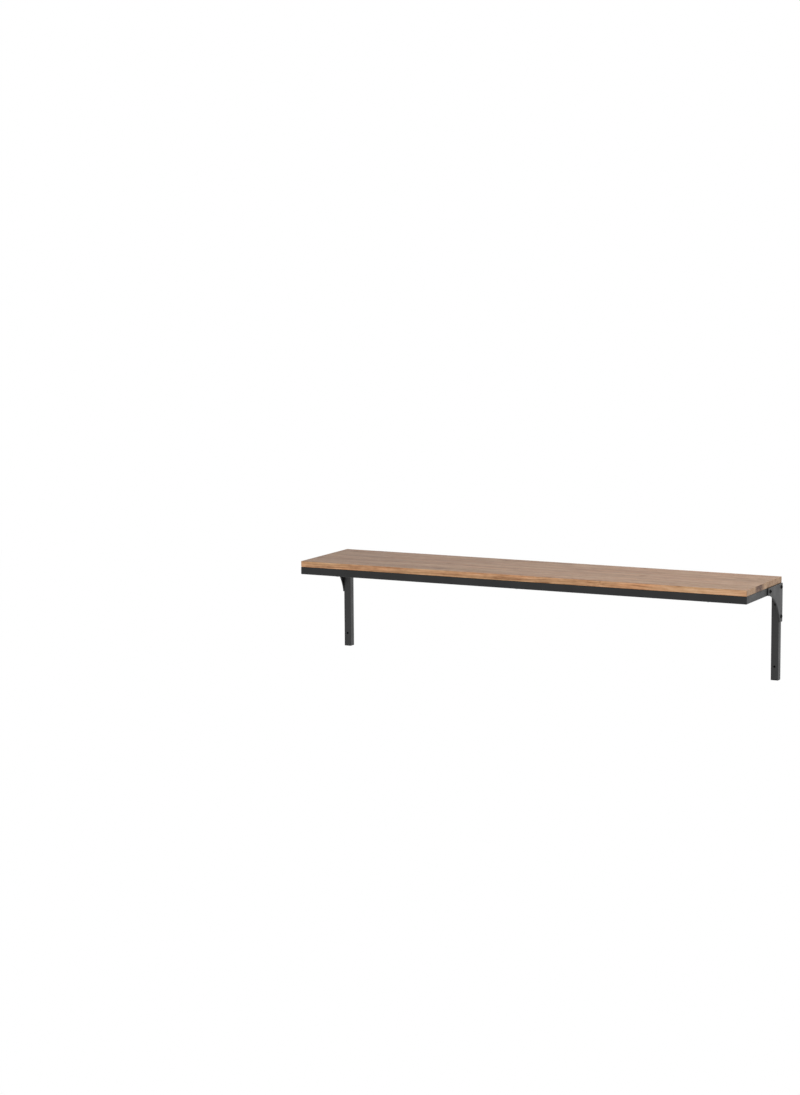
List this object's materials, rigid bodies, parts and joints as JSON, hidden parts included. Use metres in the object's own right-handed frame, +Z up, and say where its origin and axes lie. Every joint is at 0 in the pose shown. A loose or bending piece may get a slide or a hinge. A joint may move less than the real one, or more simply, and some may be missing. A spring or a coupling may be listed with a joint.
{
  "type": "wall shelf with brackets",
  "caption": "Long wooden wall shelf on a slim black square-tube frame, with wall legs and curved gusset plates joined by dome-head bolts.",
  "frame": {"origin": "middle of the rectangle of four wall-fixing holes, on the wall plane at the back of the legs", "axes": "+X along the shelf to the right as seen from the room, +Y into the wall, +Z up"},
  "size_m": [1.2118, 0.25, 0.255],
  "materials": {
    "wood": "oiled, brushed, fine grain along the length",
    "powder_coat": "fine-textured satin black powder coat",
    "bolt_black": "black-oxide button-head bolts",
    "zinc": "bright zinc-plated steel",
    "plug_plastic": "moulded black plastic"
  },
  "bodies": {
    "root": {"shelf_board": "wood", "front_rail": "powder_coat", "rear_rail": "powder_coat", "left_side_rail": "powder_coat", "right_side_rail": "powder_coat", "left_leg": "powder_coat", "right_leg": "powder_coat", "left_gusset": "powder_coat", "right_gusset": "powder_coat", "left_front_bolt": "bolt_black", "left_rear_bolt": "bolt_black", "left_lower_bolt": "bolt_black", "right_front_bolt": "bolt_black", "right_rear_bolt": "bolt_black", "right_lower_bolt": "bolt_black", "left_front_rivet_nut": "zinc", "left_rear_rivet_nut": "zinc", "left_lower_rivet_nut": "zinc", "right_front_rivet_nut": "zinc", "right_rear_rivet_nut": "zinc", "right_lower_rivet_nut": "zinc", "front_left_board_screw": "zinc", "front_middle_board_screw": "zinc", "front_right_board_screw": "zinc", "rear_left_board_screw": "zinc", "rear_middle_board_screw": "zinc", "rear_right_board_screw": "zinc", "left_side_board_screw": "zinc", "right_side_board_screw": "zinc", "left_leg_plug": "plug_plastic", "right_leg_plug": "plug_plastic"}
  },
  "joints": []
}
